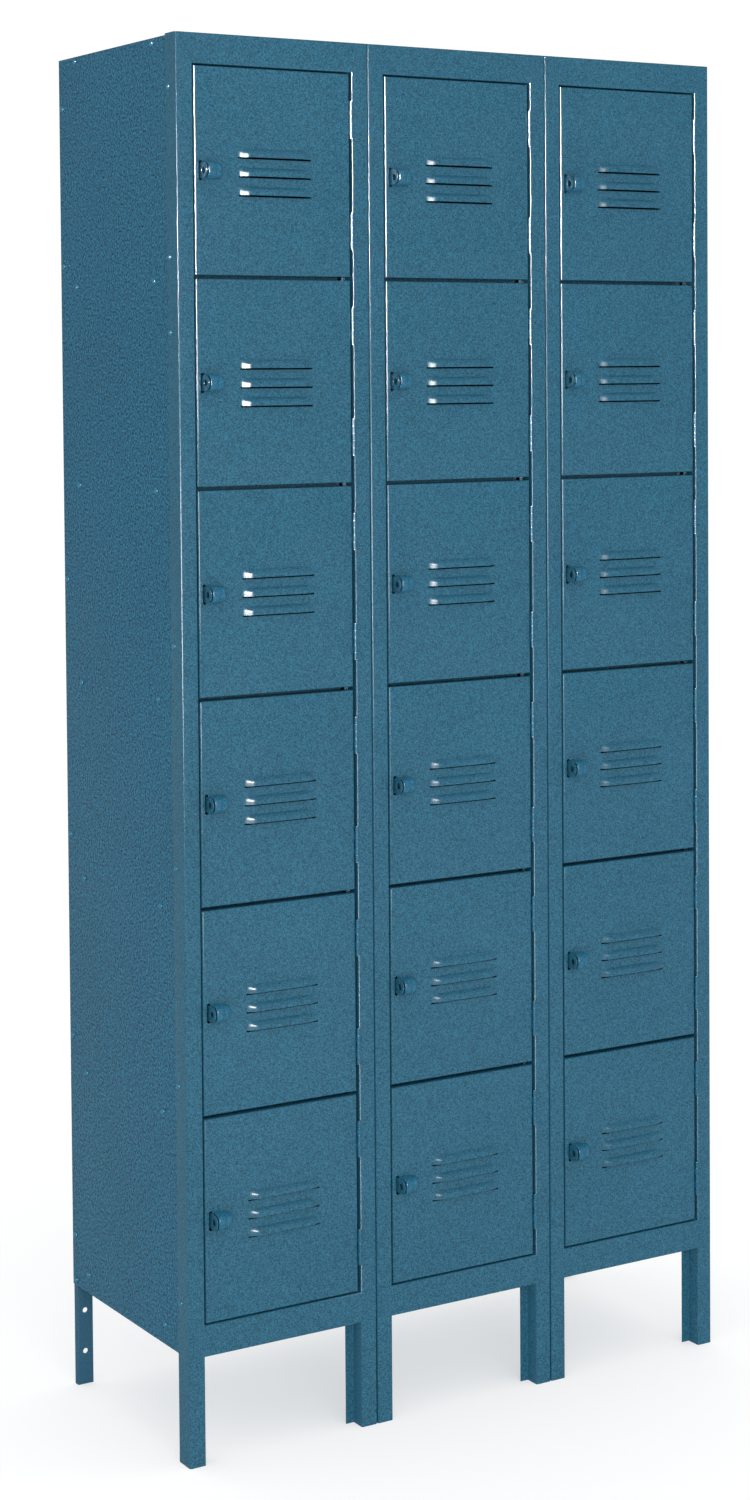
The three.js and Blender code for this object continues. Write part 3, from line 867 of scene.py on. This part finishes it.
def knuckle_spans(bottom):
    length = (HINGE_LENGTH - (KNUCKLES - 1) * KNUCKLE_GAP) / KNUCKLES
    return [(bottom + i * (length + KNUCKLE_GAP), bottom + i * (length + KNUCKLE_GAP) + length)
            for i in range(KNUCKLES)]


def hinge_half(name, bay, tiers, first, leaf_x, paint, body):
    """Every second knuckle from `first`, with the leaf behind them."""
    _, x1 = bay_edges(bay)
    axis_x = x1 - POST_FACE - DOOR_GAP_RIGHT / 2
    axis_y = face_y - HINGE_FORWARD
    places = []
    verts, faces = [], []
    for tier in tiers:
        for bottom in hinge_bottoms(tier):
            for low, high in knuckle_spans(bottom)[first::2]:
                places.append((axis_x, axis_y, (low + high) / 2))
                curl_end = (leaf_x + LEAF_GAUGE, face_y + 0.003, high)
                add_part(verts, faces, *box_part((leaf_x, axis_y, low), curl_end))
            low = (leaf_x, face_y + 0.0025, bottom)
            far_end = (leaf_x + LEAF_GAUGE, face_y + LEAF_DEPTH, bottom + HINGE_LENGTH)
            add_part(verts, faces, *box_part(low, far_end))
    length = (HINGE_LENGTH - (KNUCKLES - 1) * KNUCKLE_GAP) / KNUCKLES
    add_part(verts, faces, *repeated("bar", places, Radius=BARREL_RADIUS, Length=length, Sides=16,
                                     Proportions=(1.0, 1.0, 1.0), Twist=(0.0, 0.0, 0.3), Seed=7, Coat=paint))
    piece = mesh_object(name, verts, faces, paint)
    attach(piece, body)


def hinge_pins(bay):
    _, x1 = bay_edges(bay)
    axis = (x1 - POST_FACE - DOOR_GAP_RIGHT / 2, face_y - HINGE_FORWARD)
    places = [(*axis, bottom + HINGE_LENGTH / 2) for tier in range(TIERS) for bottom in hinge_bottoms(tier)]
    bars = repeated("bar", places, Radius=PIN_RADIUS, Length=HINGE_LENGTH + 2 * PIN_HEAD, Sides=12,
                    Proportions=(1.0, 1.0, 1.0), Twist=(0.0, 0.0, 6.28), Seed=3, Coat=pin_steel)
    piece = mesh_object(f"hinge_pins_{bay}", *bars, pin_steel)
    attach(piece, "cabinet")


for bay_name in BAYS:
    post_x = bay_edges(bay_name)[1] - POST_FACE
    hinge_half(f"frame_hinges_{bay_name}", bay_name, range(TIERS), 0, post_x - LEAF_GAUGE, hinge_paint,
               "cabinet")
    hinge_pins(bay_name)
    for tier_number in range(TIERS):
        door_name = f"door_{bay_name}{tier_number + 1}"
        hinge_half(f"{door_name}_hinges", bay_name, [tier_number], 1, post_x - DOOR_GAP_RIGHT, hinge_paint,
                   door_name)

# ---------------------------------------------------------------------------------------------
# Side panels: one thin steel sheet on each side, its rear edge turned in. The panel lies just
# inside the outer flange of the front frame and is bolted to it, to the shelves and to the back.

PANEL_GAUGE = 0.0009
PANEL_BEND = 0.0016
PANEL_INSET = 0.0018
REAR_FLANGE = 0.015
SIDE_COLOR = (0.0100, 0.1060, 0.1860)

side_paint = enamel("side_enamel_paint", SIDE_COLOR, 0.36, 1.45, 0.30, 290.0)
cabinet_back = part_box("side_panel_left")[1].y
panel_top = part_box("side_panel_left")[1].z


def side_panel(side, turn):
    """`turn` is 1 on the left and -1 on the right."""
    outer_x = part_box(f"side_panel_{side}")[0 if turn > 0 else 1].x
    path = [(0.0, face_y + PANEL_INSET)]
    path += [(s, depth) for s, depth in arc((PANEL_BEND, cabinet_back - PANEL_BEND), PANEL_BEND, 180.0, 90.0)]
    path.append((REAR_FLANGE, cabinet_back))
    path = [(outer_x + turn * s, depth) for s, depth in path]
    if turn > 0:
        path = path[::-1]
    outline = sheet_outline(path, PANEL_GAUGE)
    piece = mesh_object(f"outer_side_{side}", *bar_along(outline, (LEG_HEIGHT, panel_top), 2), side_paint)
    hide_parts(f"side_panel_{side}")
    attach(piece, "cabinet")


side_panel("left", 1)
side_panel("right", -1)

# ---------------------------------------------------------------------------------------------
# Bolts: small round-headed bolts that hold the side panels to the frames, shelves, bottom, top
# and back. They are fitted before the last coat. Their colour is the panel's blue made lighter,
# a painted highlight on the round heads.

BOLT_RADIUS = 0.0047
BOLT_PROUD = 0.0030
FRAME_BOLT_Y = 0.024
BACK_BOLT_Y = 0.011
SHELF_BOLT_YS = (0.076, 0.325)
SHELF_BOLT_DROP = 0.004
TOP_BOLT_DROP = 0.007
BOTTOM_BOLT_RISE = 0.028
FRAME_BOLT_ZS = (1.908, 1.676, 1.573, 1.142, 0.834, 0.531, 0.226)
BACK_BOLT_ZS = (1.908, 1.676, 1.214, 0.834, 0.531, 0.229, 0.160)
# The bolt colour is the panel blue made lighter: a painted highlight on the domed heads.
BOLT_COLOR_WITH_PAINTED_HIGHLIGHT = (0.030, 0.160, 0.255)

bolt_paint_with_painted_highlight = enamel("bolt_enamel_with_painted_highlight", BOLT_COLOR_WITH_PAINTED_HIGHLIGHT, 0.20, 0.3)


def side_bolts(side, turn):
    outer_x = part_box(f"side_panel_{side}")[0 if turn > 0 else 1].x
    flange_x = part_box("front_frame_A")[0].x if turn > 0 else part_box("front_frame_C")[1].x
    places = [(flange_x, face_y + FRAME_BOLT_Y, z) for z in FRAME_BOLT_ZS]
    for z in BACK_BOLT_ZS:
        places.append((outer_x, cabinet_back - BACK_BOLT_Y, z))
    for y in SHELF_BOLT_YS:
        rows = [opening_top - seam * tier_pitch - SHELF_BOLT_DROP for seam in range(1, TIERS)]
        for z in [panel_top - TOP_BOLT_DROP, *rows, LEG_HEIGHT + BOTTOM_BOLT_RISE]:
            places.append((outer_x, face_y + y, z))
    heads = repeated("dome", places, Radius=BOLT_RADIUS, Sides=14, Twist=(6.28, 0.0, 0.0), Seed=11,
                     Proportions=(BOLT_PROUD / BOLT_RADIUS, 1.0, 1.0), Coat=bolt_paint_with_painted_highlight)
    piece = mesh_object(f"side_bolts_{side}", *heads, bolt_paint_with_painted_highlight, 60.0)
    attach(piece, "cabinet")


side_bolts("left", 1)
side_bolts("right", -1)

# ---------------------------------------------------------------------------------------------
# Rear legs: a short steel angle at each rear corner, fixed inside the side panel. Its web faces
# the front and has two plain holes in it.

REAR_LEG_WEB = 0.025
REAR_LEG_SIDE = 0.0102
REAR_LEG_SET_IN = 0.011
REAR_LEG_OVERLAP = 0.075
REAR_LEG_BEND = 0.0015
REAR_HOLES = (0.050, 0.112)
REAR_HOLE_RADIUS = 0.004
# The leg colour is the body blue made darker: painted shade for their place low at the back, under the
# cabinet.
LEG_COLOR_WITH_PAINTED_SHADE = (0.0105, 0.095, 0.168)

leg_paint_with_painted_shade = enamel("rear_leg_shaded_enamel", LEG_COLOR_WITH_PAINTED_SHADE, 0.38)


def rear_leg(side, turn):
    outer_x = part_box(f"side_panel_{side}")[0 if turn > 0 else 1].x + turn * PANEL_GAUGE
    front_y = cabinet_back - REAR_LEG_SET_IN - FRAME_GAUGE
    bend = REAR_LEG_BEND
    hole_x = REAR_LEG_WEB / 2
    reach = 0.008
    plan = [(0.0, front_y + REAR_LEG_SIDE)]
    plan += [(s, front_y + depth) for s, depth in arc((bend, bend), bend, 180.0, 270.0)]
    middle_column = len(plan)
    plan += [(hole_x - reach, front_y), (hole_x + reach, front_y), (REAR_LEG_WEB, front_y)]
    rows = [0.0]
    for z in REAR_HOLES:
        rows += [z - reach, z + reach]
    rows.append(LEG_HEIGHT + REAR_LEG_OVERLAP)
    verts = [(outer_x + turn * s, y, z) for z in rows for s, y in plan]
    faces = []
    for row in range(len(rows) - 1):
        for column in range(len(plan) - 1):
            a = row * len(plan) + column
            corners = (a, a + 1, a + 1 + len(plan), a + len(plan))
            if row % 2 == 0 or column != middle_column:
                faces.append(corners)
                continue
            ring = arc((hole_x, (rows[row] + rows[row + 1]) / 2), REAR_HOLE_RADIUS, 225.0, 585.0, 24)[:-1]
            first = len(verts)
            verts += [(outer_x + turn * s, front_y, z) for s, z in ring]
            for quarter in range(4):
                inner = [first + (6 * quarter + i) % 24 for i in range(6, -1, -1)]
                faces.append((corners[quarter], corners[(quarter + 1) % 4], *inner))
    if turn < 0:
        faces = [face[::-1] for face in faces]
    piece = mesh_object(f"rear_leg_{side}", *thickened(verts, faces, FRAME_GAUGE), leg_paint_with_painted_shade)
    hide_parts(f"side_panel_{side}")
    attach(piece, "cabinet")


rear_leg("left", 1)
rear_leg("right", -1)

# ---------------------------------------------------------------------------------------------
# Shelves: one pressed sheet under each upper compartment. Its sides and its back edge are turned
# down, and its front edge rests on the ledge of the cross rail.

SHELF_GAUGE = 0.001
SHELF_FLANGE = 0.015
SHELF_BEND = 0.0016
SHELF_CLEARANCE = 0.0004
SHELF_LAP = 0.001
SHELF_TONGUE_INSET = 0.002

shelf_paint = enamel("shelf_enamel_paint", SIDE_COLOR, INSIDE_ROUGHNESS, 1.0, INSIDE_GLOSS)


def shelf(bay, number):
    low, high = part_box(f"shelf_{bay}{number}")
    bottom = high.z - SHELF_FLANGE
    bend = SHELF_BEND
    path = [(low.x, bottom)] + arc((low.x + bend, high.z - bend), bend, 180.0, 90.0)
    path += arc((high.x - bend, high.z - bend), bend, 90.0, 0.0) + [(high.x, bottom)]
    back = high.y - 2 * bend
    tray = sheet_outline(path[::-1], SHELF_GAUGE)
    verts, faces = bar_along(tray, (face_y + SIDE_FLANGE + SHELF_CLEARANCE, back), 1)
    front = sheet_outline([(face_y + SIDE_FLANGE + SHELF_LAP, high.z), (low.y, high.z)], SHELF_GAUGE)
    add_part(verts, faces, *bar_along(front, (low.x + SHELF_TONGUE_INSET, high.x - SHELF_TONGUE_INSET), 0))
    rear = [(back - SHELF_LAP, high.z)] + arc((high.y - bend, high.z - bend), bend, 90.0, 0.0)
    rear.append((high.y, bottom))
    rear_part = bar_along(sheet_outline(rear[::-1], SHELF_GAUGE), (low.x + bend, high.x - bend), 0)
    add_part(verts, faces, *rear_part)
    piece = mesh_object(f"pressed_shelf_{bay}{number}", verts, faces, shelf_paint)
    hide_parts(f"shelf_{bay}{number}")
    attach(piece, "cabinet")


for bay_name in BAYS:
    for shelf_number in range(1, TIERS):
        shelf(bay_name, shelf_number)

# ---------------------------------------------------------------------------------------------
# Dividers and bottom: plain flat sheets that keep their designed shape. The dividers stand in the
# joint between two bays, and the bottom sheet lies on the bottom rails.

body_paint = enamel("body_enamel_paint", SIDE_COLOR, INSIDE_ROUGHNESS, 1.0, INSIDE_GLOSS)

for sheet_name in ("divider_AB", "divider_BC", "bottom_sheet"):
    for material_slot in bpy.data.objects[sheet_name].material_slots:
        material_slot.material = body_paint

# ---------------------------------------------------------------------------------------------
# Back and top: the back sheet closes the cabinet behind the shelves, and its upper edge is folded
# forwards as the top. Rows of round-headed bolts hold the back to the shelves and the dividers.

TOP_BEND = 0.0025
BACK_BOLT_PROUD = 0.0011
BACK_BOLT_TOP_DROP = 0.02
BACK_BOLT_SHARES = (0.08, 0.5, 0.92)


def back_and_top():
    low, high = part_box("back_and_top_sheet")
    bend = TOP_BEND
    path = [(high.y, low.z)] + arc((high.y - bend, high.z - bend), bend, 0.0, 90.0)
    path.append((low.y, high.z))
    outline = sheet_outline(path, PANEL_GAUGE)
    piece = mesh_object("folded_back_and_top", *bar_along(outline, (low.x, high.x), 0), body_paint)
    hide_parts("back_and_top_sheet")
    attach(piece, "cabinet")


def back_bolts():
    _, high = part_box("back_and_top_sheet")
    places = []
    for seam in range(TIERS + 1):
        z = min(opening_top - seam * tier_pitch - SHELF_BOLT_DROP, high.z - BACK_BOLT_TOP_DROP)
        for bay in BAYS:
            x0, x1 = bay_edges(bay)
            for share in BACK_BOLT_SHARES:
                places.append((x0 + share * (x1 - x0), high.y, z))
    # These heads take the same lighter bolt paint, a painted highlight.
    heads = repeated("dome", places, Radius=BOLT_RADIUS, Sides=14, Twist=(0.0, 6.28, 0.0), Seed=19,
                     Proportions=(1.0, BACK_BOLT_PROUD / BOLT_RADIUS, 1.0), Coat=bolt_paint_with_painted_highlight)
    piece = mesh_object("back_bolts", *heads, bolt_paint_with_painted_highlight, 60.0)
    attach(piece, "cabinet")


back_and_top()
back_bolts()
